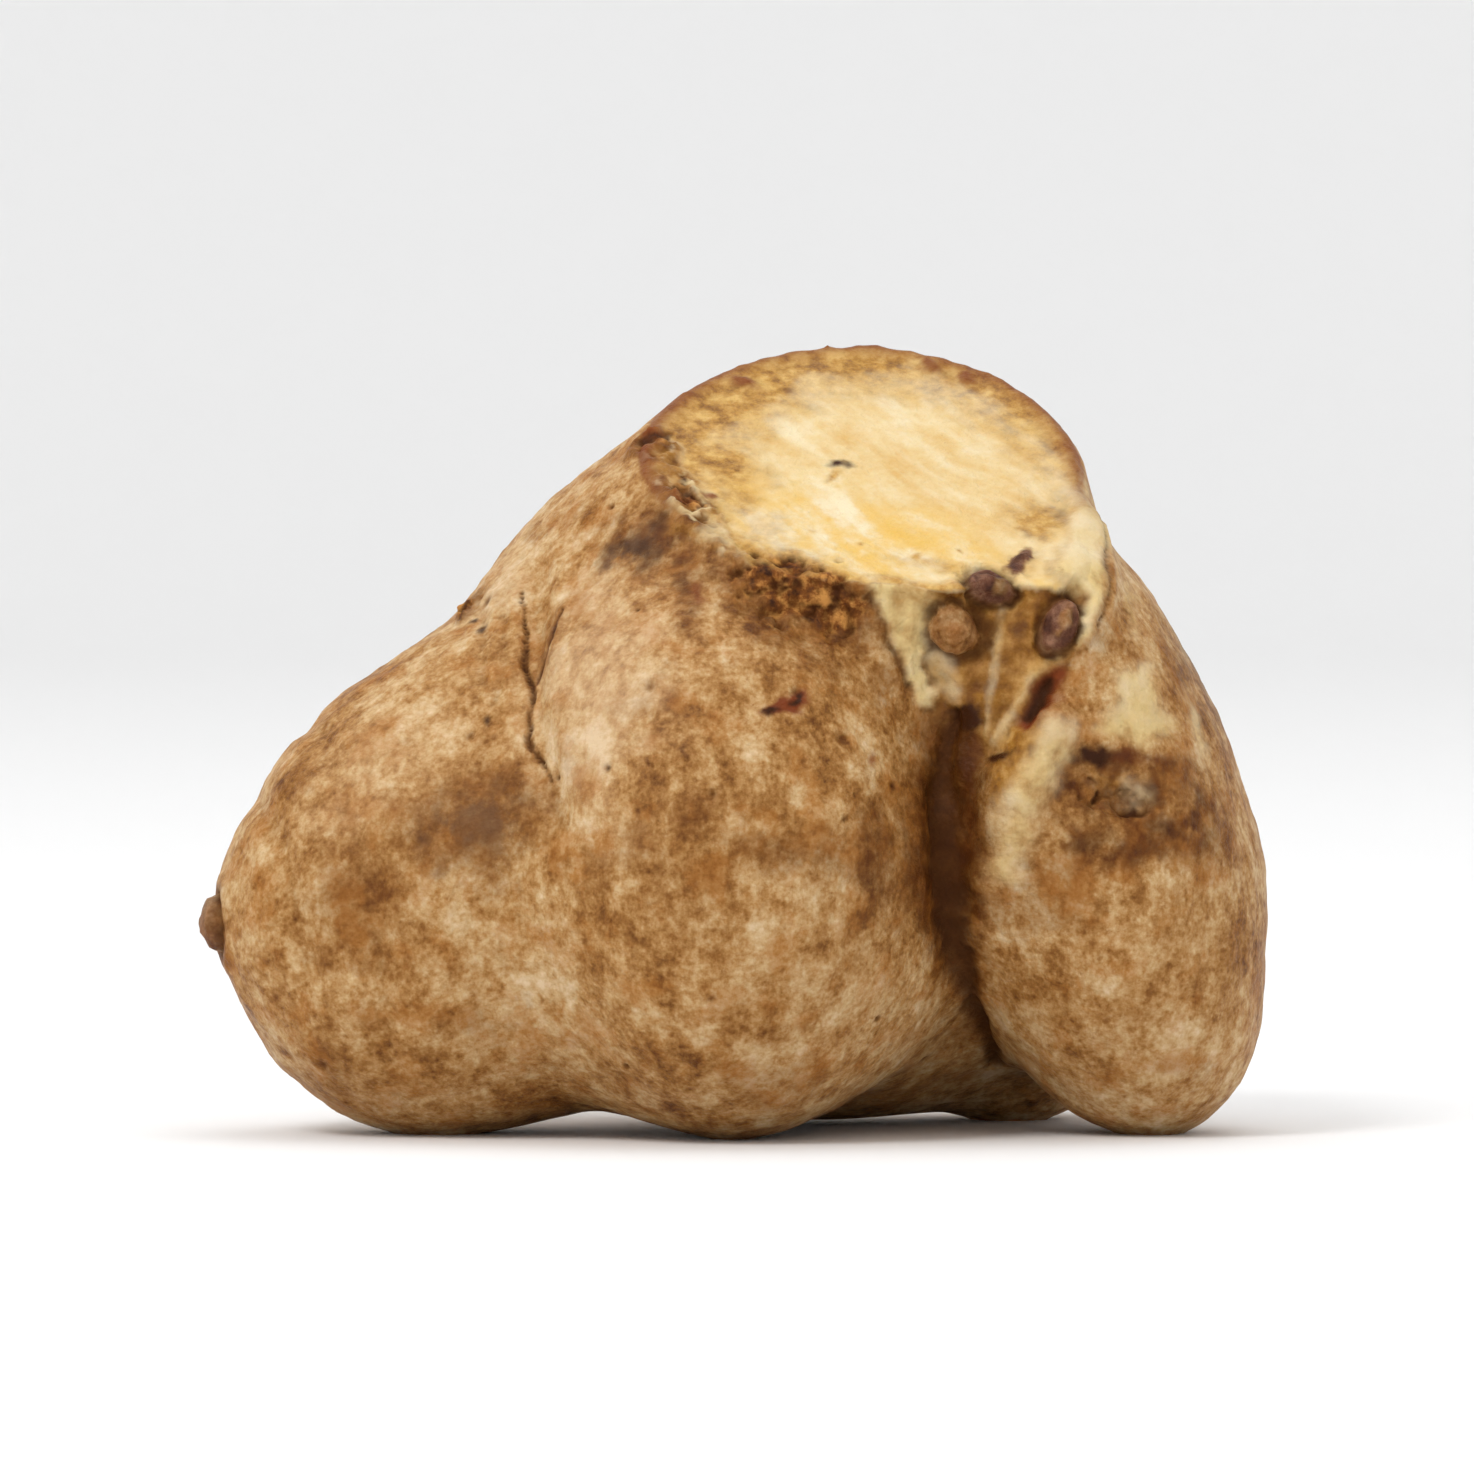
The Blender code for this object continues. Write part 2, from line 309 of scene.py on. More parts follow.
def stroke(skin, side, route, ragged=0, seed=0):
    """How far out each point is in a line on the skin, along (across, up, half width) points."""
    route = np.array(route, float)
    length = np.concatenate(([0], np.cumsum(np.linalg.norm(np.diff(route[:, :2], axis=0), axis=1))))
    steps = np.linspace(0, length[-1], int(length[-1] / STROKE_STEP) + 2)
    spots = np.stack([np.interp(steps, length, route[:, i]) for i in range(3)], axis=1)
    out = np.full(len(skin.points), FAR_OUT)
    half_bent = (skin.points + skin.bent) / 2
    for across, up, width in spots:
        spot, _ = skin.find(side, across, up)
        near = skin.near(spot, 3 * width + 1)
        out[near] = np.minimum(out[near], np.linalg.norm(half_bent[near] - spot, axis=1) / width)
    if ragged:
        near = np.flatnonzero(out < 3)
        out[near] += ragged * cloud(skin.points[near], 1.0, 3, seed)
    return out


def covered(skin, side, outline, soft):
    """1 inside an outline of (across, up) corners and 0 outside, over an edge of so many mm."""
    outward, axes = SIDES[side]
    corners = np.array(outline, float)
    shown = np.flatnonzero(skin.normals @ outward > FACING[0])
    spots = skin.bent[np.ix_(shown, axes)]
    gap = np.full(len(spots), np.inf)
    inside = np.zeros(len(spots), bool)
    for start, end in zip(corners, np.roll(corners, -1, axis=0)):
        way, away = end - start, spots - start
        share = np.clip(away @ way / (way @ way), 0, 1)
        gap = np.minimum(gap, np.linalg.norm(away - share[:, None] * way, axis=1))
        crossed = (start[1] > spots[:, 1]) != (end[1] > spots[:, 1])
        with np.errstate(divide="ignore", invalid="ignore"):
            edge = start[0] + (spots[:, 1] - start[1]) / way[1] * way[0]
        inside ^= crossed & (spots[:, 0] < edge)
    reach = smoothstep(-soft, soft, np.where(inside, gap, -gap))
    out = np.zeros(len(skin.points))
    out[shown] = reach * smoothstep(*FACING, skin.normals[shown] @ outward)
    return out


# -------- the cut face


def cut_face(skin):
    """The flesh that the knife laid open: bent fibres, a soft yellow core and a dry edge."""
    fibre_relief, swell, sink, lip = 0.05, 0.10, 0.12, 0.05
    inside = skin.cut_share(5)
    skin.paint("flesh", smoothstep(0.35, 0.6, inside + 0.08 * cloud(skin.points, 1.4, 2, 3)))
    away = skin.points - skin.cut_middle()
    fibre_way = unit(FIBRE_WAY - FIBRE_WAY @ CUT_NORMAL * CUT_NORMAL)
    along, beside = away @ fibre_way, away @ np.cross(CUT_NORMAL, fibre_way)
    skin.rim_gap = rim_distance(skin, along, beside)
    bend = beside + 1.3 * cloud(skin.points, 9, 2, 7)
    skin.grain = np.stack([along * 0.22, bend, np.zeros_like(bend)], axis=1)
    face = inside * smoothstep(0.3, 1.6, skin.rim_gap)
    fibres = fibre_relief * cloud(skin.grain, 0.9, 3, 5)
    skin.raise_by(face * (fibres + swell * cloud(skin.points, 5, 2, 6) - sink))
    skin.raise_by(lip * inside * hill(skin.rim_gap - 0.8, 0.6))
    core = oval(skin, "front", (6.5, 39.9), (10.5, 5.4), -8, 0.3, 3, 9)
    skin.paint("yolk", smoothstep(1.5, 0.3, core))
    edge = smoothstep(6, 1, skin.rim_gap) * smoothstep(-0.2, 0.7, cloud(skin.points, 3.5, 3, 10))
    skin.paint("yolk", 0.7 * skin.on_cut * edge)


def rim_distance(skin, along, beside):
    """How far each point of the cut face is inside its outline, in mm."""
    slots, rounds = 90, 6
    angle, radius = np.arctan2(beside, along), np.hypot(along, beside)
    slot = ((angle + pi) / (2 * pi) * slots).astype(int) % slots
    edge = np.zeros(slots)
    np.maximum.at(edge, slot[skin.on_cut], radius[skin.on_cut])
    for _ in range(rounds):
        edge = (np.roll(edge, 1) + 2 * edge + np.roll(edge, -1)) / 4
    middles = (np.arange(slots) + 0.5) / slots * 2 * pi - pi
    edge_here = np.interp(angle, np.append(middles, middles[0] + 2 * pi), np.append(edge, edge[0]))
    return np.where(skin.on_cut, edge_here - radius, 0.0)


def edge_browning(skin):
    """Where the cut face has dried: a ragged brown band along its rim, wider at the top and left."""
    wander = 1.5 * cloud(skin.points, 2.6, 3, 71) + 0.6 * cloud(skin.points, 0.9, 2, 72)
    away = skin.points - skin.cut_middle()
    across, up = away[:, 0], away[:, 2]
    wide = 0.5 + 2.6 * smoothstep(-2, 8, up) + 3.0 * smoothstep(2, -10, across)
    upper = smoothstep(-3, 3, up)
    joined = 1 - smoothstep(8, 11, across) * smoothstep(0, -3, up)
    gap, flesh = skin.rim_gap + wander, skin.masks["flesh"]
    skin.paint("rim", 0.95 * joined * flesh * smoothstep(wide + 1.6, wide - 1.4, gap))
    skin.paint("rim", 0.8 * joined * flesh * smoothstep(0.6, 0.1, skin.rim_gap + 0.2 * wander))
    skin.paint("rim", 0.62 * upper * joined * flesh * smoothstep(wide + 5, wide, gap))
    edge = smoothstep(0.02, 0.25, skin.cut_share(5)) * hill(skin.rim_gap + 0.12 * wander, 0.95)
    skin.paint("red", 0.8 * upper * joined * edge)
    ring = hill(skin.rim_gap - 2.6 + 0.25 * wander, 0.55) * smoothstep(-4, 6, across + up)
    skin.paint("rim", 0.3 * skin.on_cut * ring)


# -------- kinds of mark


def stain(skin, side, name, place, radii, lean, amount, ragged, size, seed=0):
    out = oval(skin, side, place, radii, lean, ragged, size, seed)
    skin.paint(name, amount * smoothstep(1.5, 0.2, out))


def patch(skin, side, name, outline, amount, soft, lift=0, worn=0, seed=0):
    """Paints and lifts the skin, but not the flesh, inside an outline of (across, up) corners."""
    out = covered(skin, side, outline, soft) * (1 - skin.masks["flesh"])
    if worn:
        out *= 1 - worn * smoothstep(0.25, -0.35, cloud(skin.points, 1.5, 4, seed))
    skin.paint(name, amount * out)
    skin.raise_by(lift * out)


def streak(skin, side, name, route, amount, lift, ragged, seed):
    out = stroke(skin, side, route, ragged, seed)
    skin.paint(name, amount * smoothstep(1.7, 0.2, out))
    skin.raise_by(lift * hill(out, 0.9))


def crease(skin, side, route, depth, tone):
    """A narrow fold in the skin, with a soft bank on each side."""
    out = stroke(skin, side, route)
    skin.raise_by(-depth * hill(out, 0.8) + 0.35 * depth * hill(out - 2.0, 0.7))
    skin.paint("dark", tone * hill(out, 0.6))
    skin.paint("brown", tone * hill(out, 1.3))


def eye(skin, side, place, radii, lean, tone, halo=0.5):
    """A bud in its leaf's scar: a low dome of rough scales, a groove round it and a soft halo."""
    dome_height, scale_height, ring_depth, groove_depth, bank_height = 0.42, 0.22, 0.14, 0.35, 0.12
    wide = oval(skin, side, place, radii, lean, ragged=0.2, seed=3)
    skin.paint("brown", halo * smoothstep(2.2, 1.0, wide))
    out = oval(skin, side, place, radii, lean) + 0.08 * cloud(skin.points, 1.0, 2, 4)
    dome = np.clip(1 - out**2, 0, 1)
    skin.raise_by(dome_height * np.sqrt(dome) + scale_height * dome * cloud(skin.points, 0.7, 3, 5))
    skin.raise_by(-groove_depth * hill(out - 1.1, 0.2) + bank_height * hill(out - 1.6, 0.22))
    inside = smoothstep(1.15, 0.85, out)
    for name in ("cream", "gold", "brown", "flesh"):
        skin.masks[name] *= 1 - inside
    skin.paint("bud", tone * inside)
    broken = smoothstep(-0.6, 0.3, cloud(skin.points, 1.2, 2, 6))
    skin.paint("dark", (0.45 + 0.45 * tone) * hill(out - 1.08, 0.16) * broken)
    skin.paint("dark", 0.4 * tone * hill(out - 0.6, 0.12) * broken)
    skin.raise_by(-ring_depth * hill(out - 0.6, 0.12))


def scab(skin, side, place, radii, lean, depth, tone, seed):
    """A rough corky scar with a torn edge, cracked into crumbs and strands."""
    crumb_height, edge_height = 0.5, 0.15
    out = oval(skin, side, place, radii, lean, ragged=0.3, size=1.1, seed=seed)
    inside = smoothstep(1.1, 0.75, out)
    near = np.flatnonzero(inside > 0)
    spots = skin.bent[near]
    rough = np.zeros(len(out))
    rough[near] = crumbs(spots, 1.5, seed) - 0.4 + 0.5 * cloud(spots, 0.7, 2, seed)
    skin.raise_by(inside * (depth + crumb_height * rough))
    skin.raise_by(edge_height * hill(out - 1.15, 0.15))
    skin.paint("brown", 0.7 * smoothstep(1.7, 1.0, out))
    skin.paint("scab", tone * inside)
    patchy = smoothstep(-0.15, 0.35, cloud(skin.points, 1.5, 2, seed + 3))
    skin.paint("dark", 0.95 * inside * smoothstep(0.12, -0.25, rough) * patchy)
    skin.paint("grey", 0.7 * inside * (1 - patchy) * smoothstep(0.2, 0.5, rough))


def work(skin, side, rows):
    """Works marks into one side in their order: each row is a kind of mark and its own values."""
    for mark, *values in rows:
        mark(skin, side, *values)


# -------- marks on the front

# Marks are rows of a kind and its own values, worked in from first to last. A place is (across, up),
# an outline has such corners and a route has (across, up, half width) points. The values are
#   stain: mask, place, radii, lean in degrees, amount, raggedness, size of its noise, seed
#   patch: mask, outline, amount, softness, lift, share that is worn away, seed
#   streak: mask, route, amount, lift, raggedness, seed
#   crease: route, depth, tone
#   eye: place, radii, lean, tone, halo
#   scab: place, radii, lean, depth, tone, seed

LIMB_CREASE = (
    (-14.2, 35.9, 0.14), (-14.0, 33.2, 0.18), (-13.8, 30.8, 0.22), (-13.3, 29.4, 0.28),
    (-13.7, 26.6, 0.24), (-12.9, 25.1, 0.2), (-12.0, 23.7, 0.12),
)
LIMB_MARKS = (
    (stain, "pale", (-24.0, 25.0), (6.0, 4.0), 35, 0.45, 0.4, 3.0, 29),
    # Painted light: this pale stain lightens the shoulder where the light falls on it.
    (stain, "pale", (-9.2, 30.5), (5.0, 9.0), 0, 1.0, 0.4, 2.6, 30),
    (stain, "pale", (-15.6, 36.4), (2.6, 4.0), -30, 0.6, 0.4, 2.0, 31),
    (stain, "patch", (-17.0, 21.4), (4.6, 3.6), 20, 1.5, 0.5, 2.0, 32),
    (stain, "patch", (-21.6, 21.6), (2.0, 2.8), 0, 0.7, 0.6, 1.6, 58),
    (stain, "grey", (-16.8, 21.2), (4.0, 2.8), 20, 0.6, 0.6, 1.4, 78),
    (stain, "brown", (-17.6, 20.8), (4.0, 2.6), 20, 0.3, 0.6, 1.6, 79),
    # Painted shade: this patch darkens the limb's underside at its lower left.
    (stain, "patch", (-25.0, 16.0), (4.5, 5.0), 30, 0.7, 0.4, 3.0, 33),
    (stain, "patch", (-12.8, 32.6), (0.9, 2.4), -15, 0.6, 0.3, 1.6, 34),
    (stain, "dark", (-16.2, 27.4), (0.32, 0.5), 0, 0.95, 0.2, 0.6, 35),
    (crease, LIMB_CREASE, 0.3, 0.85),
    (crease, ((-11.5, 35.0, 0.16), (-12.3, 32.5, 0.24), (-13.0, 30.0, 0.22)), 0.2, 0.9),
    (stain, "patch", (-11.9, 33.6), (0.9, 1.9), -15, 0.8, 0.4, 1.0, 57),
    (crease, ((-17.4, 37.4, 0.4), (-16.8, 33.4, 0.5), (-16.9, 30.2, 0.4)), 0.16, 0.1),
    (crease, ((-15.6, 34.4, 0.4), (-15.4, 31.4, 0.5), (-15.9, 28.8, 0.4)), 0.14, 0.08),
)

# The torn skin's outline, and the brown patch below it.
TORN = (
    (-8, 49), (-5.8, 47.4), (-4.4, 45.6), (-3.1, 43.8), (-1.6, 42.4), (-0.8, 40.6), (0.2, 38.6),
    (1.2, 36.6), (-8, 36),
)
BELOW_TORN = (
    (-9.2, 39.2), (-7.8, 40.6), (-5.4, 41.4), (-3.0, 41.2), (-1.4, 38), (-2.4, 34.4), (-3.6, 33.4),
    (-4.6, 36.6), (-6.6, 36.8), (-8.2, 37.8),
)
TORN_MARKS = (
    (patch, "brown", BELOW_TORN, 0.85, 0.9, 0, 0.45, 93),
    (stain, "grey", (-7.0, 38.7), (2.3, 1.6), 15, 1.0, 0.4, 1.2, 37),
    (stain, "dark", (-6.0, 38.5), (0.9, 1.3), 20, 0.6, 0.4, 1.0, 38),
    (scab, (-3.4, 42.2), (1.8, 1.0), -30, 0.1, 0.8, 22),
    (scab, (-5.6, 46.0), (0.9, 1.4), -40, 0.05, 0.7, 39),
    (stain, "red", (-2.8, 36.0), (0.45, 1.0), 15, 0.6, 0.5, 0.8, 40),
    (stain, "red", (-3.6, 42.0), (0.8, 0.7), 20, 0.5, 0.5, 0.8, 41),
    (stain, "cream", (-1.2, 40.0), (1.0, 2.0), 20, 0.7, 0.4, 0.9, 42),
    (stain, "gold", (-3.3, 40.3), (1.1, 0.9), 0, 0.9, 0.4, 0.8, 95),
    (stain, "dark", (-4.8, 40.8), (0.9, 0.6), 20, 0.7, 0.4, 0.8, 96),
    (stain, "dark", (-7.9, 38.7), (1.2, 0.7), 0, 0.45, 0.5, 0.8, 97),
    (stain, "dark", (-6.1, 45.9), (0.6, 0.4), 20, 0.9, 0.3, 0.6, 98),
    (stain, "dark", (-3.7, 43.5), (0.25, 0.5), 0, 1.0, 0.3, 0.5, 99),
    (stain, "dark", (-3.4, 42.2), (0.45, 0.35), 0, 0.9, 0.3, 0.5, 100),
    (stain, "red", (-1.8, 42.6), (0.6, 0.35), -25, 0.9, 0.3, 0.6, 101),
    (streak, "cream", ((-4.4, 41.9, 0.2), (-3.6, 41.3, 0.25), (-2.6, 41.2, 0.2)), 1.0, 0.25, 0.4, 102),
    (streak, "cream", ((-3.3, 43.4, 0.2), (-2.6, 42.7, 0.3), (-2.0, 41.8, 0.2)), 1.0, 0.3, 0.4, 103),
)

# The hollow between the front lobe and the right one, the crevice that runs down from it, whose
# brown, dark and red paint is painted shade with some soil, the ridge and the spur on either side,
# and the fold beside the right lobe.
RECESS = (
    (11.6, 36.8), (16.5, 36.4), (22.4, 37.0), (23.0, 34), (21.4, 31), (18.4, 27), (15.6, 24.6),
    (13.2, 28), (12.0, 32),
)
LEFT_DIP = ((15.3, 36), (16.8, 36), (17.0, 33), (16.2, 29.5), (14.9, 29.5), (15.4, 33))
RIGHT_DIP = ((17.4, 35), (19.4, 35.8), (19.9, 32.4), (18.2, 29.6), (17.0, 28.2), (16.7, 31))
CREVICE_SHADE_AND_SOIL = (
    (13.6, 29.2), (12.0, 26.5), (10.8, 22), (10.9, 17), (12.9, 12), (15.2, 8), (16.0, 13), (16.2, 20),
    (16.3, 24.5), (15.8, 28.6),
)
CREVICE_DEEP_SHADE = ((13.0, 28), (12.4, 24), (12.3, 18), (14.2, 13), (16, 18), (16.2, 24), (15.6, 27.6))
VALLEY = (
    (14.0, 28.2, 0.4), (13.5, 25.4, 0.8), (13.3, 22.0, 1.1), (13.4, 18.5, 1.2), (14.0, 14.5, 1.0),
    (15.4, 9.5, 0.7), (17.4, 4.5, 0.5),
)
VALLEY_FOOT = ((14.0, 18, 1.6), (14.6, 13, 1.4), (15.6, 9, 1.0), (17.4, 4.5, 0.7))
RIDGE_FOOT = ((17.4, 27.6), (20.2, 28.2), (19.4, 25), (17.2, 21.2), (16.4, 24.5))
RIDGE = (
    (20.1, 28.3), (21.9, 27.6), (22.1, 26), (20.6, 23.4), (19.2, 20.6), (18.2, 17), (16.9, 17.2),
    (16.9, 20.8), (18.4, 24),
)
SPUR = (
    (7.9, 37.9), (9.0, 36.2), (9.7, 34.0), (10.6, 32.2), (12.2, 28.4), (13.1, 28.8), (12.4, 31.5),
    (12.0, 35.4), (12.6, 37.2),
)
SPUR_CREASE = ((8.6, 36.2, 0.3), (9.5, 33.8, 0.35), (10.4, 32.0, 0.35), (11.3, 30.0, 0.3))
OPENED = ((20.4, 37.0), (21.2, 38.8), (22.1, 40.6), (22.9, 42.8), (25, 42), (24, 36), (22.2, 36.2))
FOLD = (
    (19.4, 37.6), (21.4, 39.6), (22.8, 41.8), (23.7, 40.6), (23.9, 36.4), (23.3, 33.6), (22.2, 32.6),
    (22.7, 34.4), (22.8, 35.9), (22.1, 36.9), (21, 37.2),
)
FOLD_SHADOW_CREASE = ((23.9, 41.0, 0.25), (24.4, 38.8, 0.3), (24.4, 36.2, 0.3), (23.8, 33.8, 0.25))
LEFT_STRAND = ((17.5, 35.4, 0.25), (17.0, 33.0, 0.3), (16.5, 30.4, 0.3), (16.1, 27.0, 0.25))
RIGHT_STRAND = ((21.0, 31.9, 0.3), (19.4, 30.6, 0.35), (17.8, 28.2, 0.35), (16.5, 26.6, 0.25))
RECESS_MARKS = (
    (patch, "gold", RECESS, 0.9, 1.0, -0.5),
    (patch, "brown", LEFT_DIP, 0.75, 0.6, -0.2),
    (patch, "brown", RIGHT_DIP, 0.6, 0.8, -0.2),
    # Painted shade with some soil: the crevice's brown and dark outlines, and the dark, brown and red
    # streaks down its valley.
    (patch, "brown", CREVICE_SHADE_AND_SOIL, 1.0, 1.3),
    (patch, "dark", CREVICE_DEEP_SHADE, 0.6, 1.2),
    (streak, "dark", VALLEY, 0.6, -0.7, 0.25, 16),
    (streak, "brown", VALLEY_FOOT, 0.8, 0, 0.25, 18),
    (streak, "red", ((15.4, 26.4, 0.5), (15.4, 22.4, 0.7), (15.0, 19.0, 0.6)), 0.3, 0, 0.25, 17),
    (patch, "gold", RIDGE_FOOT, 1.0, 0.6),
    (patch, "cream", RIDGE, 0.75, 0.9, 0.35, 0.3, 60),
    (patch, "cream", SPUR, 1.0, 0.35, 0.3),
    (crease, SPUR_CREASE, 0.2, 0.3),
)
FOLD_MARKS = (
    # Painted shadow: the dark and brown line along this crease, beside the fold.
    (crease, FOLD_SHADOW_CREASE, 0.16, 0.4),
    (streak, "cream", LEFT_STRAND, 0.4, 0.2, 0.45, 22),
    (streak, "cream", RIGHT_STRAND, 0.5, 0.25, 0.45, 23),
    (streak, "cream", ((11.9, 35.8, 1.0), (13.0, 31.8, 1.1), (14.0, 29.6, 0.7)), 0.6, 0, 0.25, 24),
    (stain, "dark", (14.7, 28.0), (1.3, 0.7), 0, 1.5, 0.3, 0.8),
    (stain, "dark", (16.9, 25.5), (1.1, 0.55), -10, 1.5, 0.3, 0.8),
    (streak, "red", ((20.9, 31.0, 0.5), (20.0, 29.6, 0.9), (18.8, 27.8, 0.5)), 1.2, -0.3, 0.25, 25),
    (streak, "dark", ((20.5, 30.6, 0.3), (19.8, 29.4, 0.55), (18.9, 28.2, 0.35)), 1.2, -0.3, 0.25, 26),
)

# The cream patch on the right lobe and the worn brown one below it.
LOBE_CREAM = ((25, 31), (27, 31.5), (27.8, 28.6), (28.6, 27.2), (26.5, 26.2), (23.2, 27.2), (24.8, 29))
LOBE_BROWN = (
    (20.8, 25.8), (25, 26.2), (28.5, 25.1), (30.8, 24.4), (31.4, 18.8), (22.2, 17.8), (20.6, 21.6),
)
RIGHT_LOBE_MARKS = (
    (patch, "cream", LOBE_CREAM, 0.85, 0.7),
    (stain, "cream", (30.3, 27.4), (0.9, 2.4), 25, 0.6, 0.5, 1.2, 43),
    (stain, "cream", (26.0, 35.0), (0.7, 2.2), 5, 0.55, 0.5, 1.2, 44),
    (stain, "patch", (25.2, 39.6), (1.4, 3.8), 12, 0.9, 0.4, 1.8, 45),
    (stain, "patch", (28.8, 31.0), (1.3, 2.6), 22, 0.8, 0.4, 1.4, 46),
    (stain, "brown", (24.5, 37.6), (0.6, 0.8), 0, 0.8, 0.4, 1.0, 47),
    (patch, "brown", LOBE_BROWN, 1.0, 0.9, 0, 0.7, 54),
    (stain, "dark", (23.6, 25.5), (1.0, 0.65), -10, 1.6, 0.3, 0.9, 48),
    (streak, "dark", ((24.6, 25.6, 0.3), (26.5, 25.4, 0.35), (28.6, 24.8, 0.25)), 0.4, 0, 0.25, 49),
    (scab, (24.4, 22.4), (2.4, 1.3), -8, -0.15, 0.35, 24),
    (stain, "cream", (25.9, 22.9), (1.1, 0.9), 0, 0.7, 0.4, 0.8, 50),
    (stain, "gold", (24.4, 23.6), (1.4, 0.7), -20, 0.9, 0.4, 0.8, 51),
    (stain, "dark", (27.8, 20.6), (1.6, 0.6), -10, 0.5, 0.6, 0.8, 52),
    (stain, "dark", (23.0, 19.8), (1.4, 0.6), 10, 0.5, 0.6, 0.8, 53),
    (stain, "red", (26.4, 25.3), (2.2, 0.5), -8, 0.5, 0.5, 1.0, 55),
    (stain, "brown", (31.4, 20.4), (2.0, 2.6), 20, 0.7, 0.6, 1.4, 56),
)

# Brown flecks on the cut face: a torn speck, dots and soft stains along the rim.
DOTS = ((8.0, 39.4, 0.22), (11.8, 38.5, 0.28), (5.2, 40.2, 0.18), (14.6, 39.0, 0.2))
CUT_MARKS = (
    (stain, "dark", (6.8, 44.5), (0.85, 0.4), 8, 1.0, 0.3, 0.5, 68),
    (stain, "rim", (6.3, 43.8), (0.45, 0.9), -30, 1.0, 0.3, 0.5, 69),
    *((stain, "rim", (x, z), (wide, 1.6 * wide), 0, 1.0, 0.3, 0.5, 64) for x, z, wide in DOTS),
    (stain, "rim", (19.9, 41.0), (2.0, 2.2), 25, 0.95, 0.5, 1.4, 70),
    (stain, "rim", (13.0, 38.0), (2.8, 0.7), -8, 0.6, 0.4, 1.0, 71),
    (stain, "rim", (-1.4, 44.6), (2.6, 3.4), 30, 0.95, 0.5, 1.6, 72),
    (stain, "rim", (0.2, 42.2), (1.6, 2.2), 30, 0.7, 0.5, 1.6, 94),
    (stain, "rim", (1.4, 40.0), (2.2, 2.4), -30, 0.5, 0.5, 1.6, 104),
)
TUFTS = (((0.3, 49.9), (1.1, 0.8)), ((12.8, 51.3), (0.9, 0.8)), ((15.6, 50.3), (0.8, 1.0)))

# The eyes below the cut, the painted highlights on the two dark ones, and the scabs and stains that come
# last.
FRONT_EYES = (
    (eye, (14.3, 33.6), (1.95, 1.8), 0, 0.27, 0.8),
    (eye, (16.6, 36.6), (1.65, 1.1), -22, 1.0, 0.7),
    (eye, (21.3, 34.2), (1.3, 1.95), -18, 1.0, 0.7),
)
EYE_HIGHLIGHTS = (((17.3, 36.4), (0.6, 0.3)), ((21.6, 34.6), (0.4, 0.8)), ((20.9, 33.5), (0.22, 0.5)))
LAST_MARKS = (
    (scab, (4.5, 35.8), (4.7, 2.0), -17, -0.15, 1.0, 21),
    (scab, (-17.9, 35.0), (0.9, 1.3), -10, 0.35, 1.0, 23),
    (stain, "dark", (-17.4, 34.3), (0.35, 0.45), 0, 0.95, 0.3, 0.6, 61),
    (stain, "dark", (-16.9, 33.5), (0.3, 0.35), 0, 0.9, 0.3, 0.6, 62),
    (stain, "red", (3.3, 29.1), (1.4, 0.7), 28, 2.2, 0.3, 0.8),
    (stain, "dark", (2.6, 28.7), (0.6, 0.45), 10, 1.7, 0.3, 0.5, 63),
    (stain, "dark", (3.9, 29.4), (0.4, 0.32), 28, 1.5, 0.3, 0.5, 65),
    (stain, "patch", (10.0, 30.6), (1.7, 1.0), 10, 1.0, 0.5, 1.0, 66),
    (stain, "red", (8.8, 25.4), (0.3, 0.6), 0, 0.7, 0.3, 0.6, 67),
    # These three brown stains darken the front lobe's foot: brown skin and painted shade under the lobe.
    (stain, "brown", (-3.5, 17.4), (4.5, 3.0), 10, 0.2, 0.6, 2.2, 73),
    (stain, "brown", (3.2, 19.6), (3.8, 2.2), -8, 0.5, 0.6, 1.8, 74),
    (stain, "brown", (9.2, 19.0), (2.4, 5.0), 0, 0.7, 0.6, 1.8, 75),
    (stain, "brown", (5.4, 31.6), (2.6, 1.6), -30, 0.4, 0.5, 1.4, 28),
)


def torn_rim(skin):
    """The torn, stained skin that laps over the lower left of the cut."""
    lapped = covered(skin, "front", TORN, 0.35)
    skin.masks["flesh"] *= 1 - lapped
    near_cut = lapped * skin.cut_share(8)
    skin.raise_by(near_cut * (0.15 + 0.35 * cloud(skin.points, 1.1, 3, 36)))
    skin.paint("gold", 0.8 * near_cut)
    skin.paint("brown", 0.8 * near_cut * smoothstep(-0.1, 0.4, cloud(skin.points, 1.3, 3, 35)))
    skin.paint("cream", 0.8 * near_cut * smoothstep(0.15, 0.5, cloud(skin.points, 1.1, 3, 34)))


def right_fold(skin):
    """The pale fold of skin that laps over the lower right of the cut, beside the right lobe."""
    opened = covered(skin, "front", OPENED, 0.8)
    skin.masks["flesh"] *= 1 - opened
    skin.paint("cream", 0.8 * opened)
    patch(skin, "front", "cream", FOLD, 1.0, 0.4)
    skin.raise_by(0.4 * covered(skin, "front", FOLD, 1.3))


def tufts(skin):
    """Rough brown tufts of skin on the cut's upper rim."""
    for place, radii in TUFTS:
        out = oval(skin, "front", place, radii, 0, 0.35, 0.9, 59)
        skin.paint("red", 0.85 * smoothstep(1.3, 0.5, out))
        skin.raise_by(0.35 * hill(out, 0.8))


# Painted highlights: light spots on the two dark eyes where light catches their scales, each raised a
# little.
def specks(skin):
    for place, radii in EYE_HIGHLIGHTS:
        out = oval(skin, "front", place, radii, -30, 0.2, 0.6, 77)
        skin.masks["bud"] *= 1 - 0.6 * smoothstep(1.3, 0.5, out)
        skin.raise_by(0.12 * hill(out, 0.8))


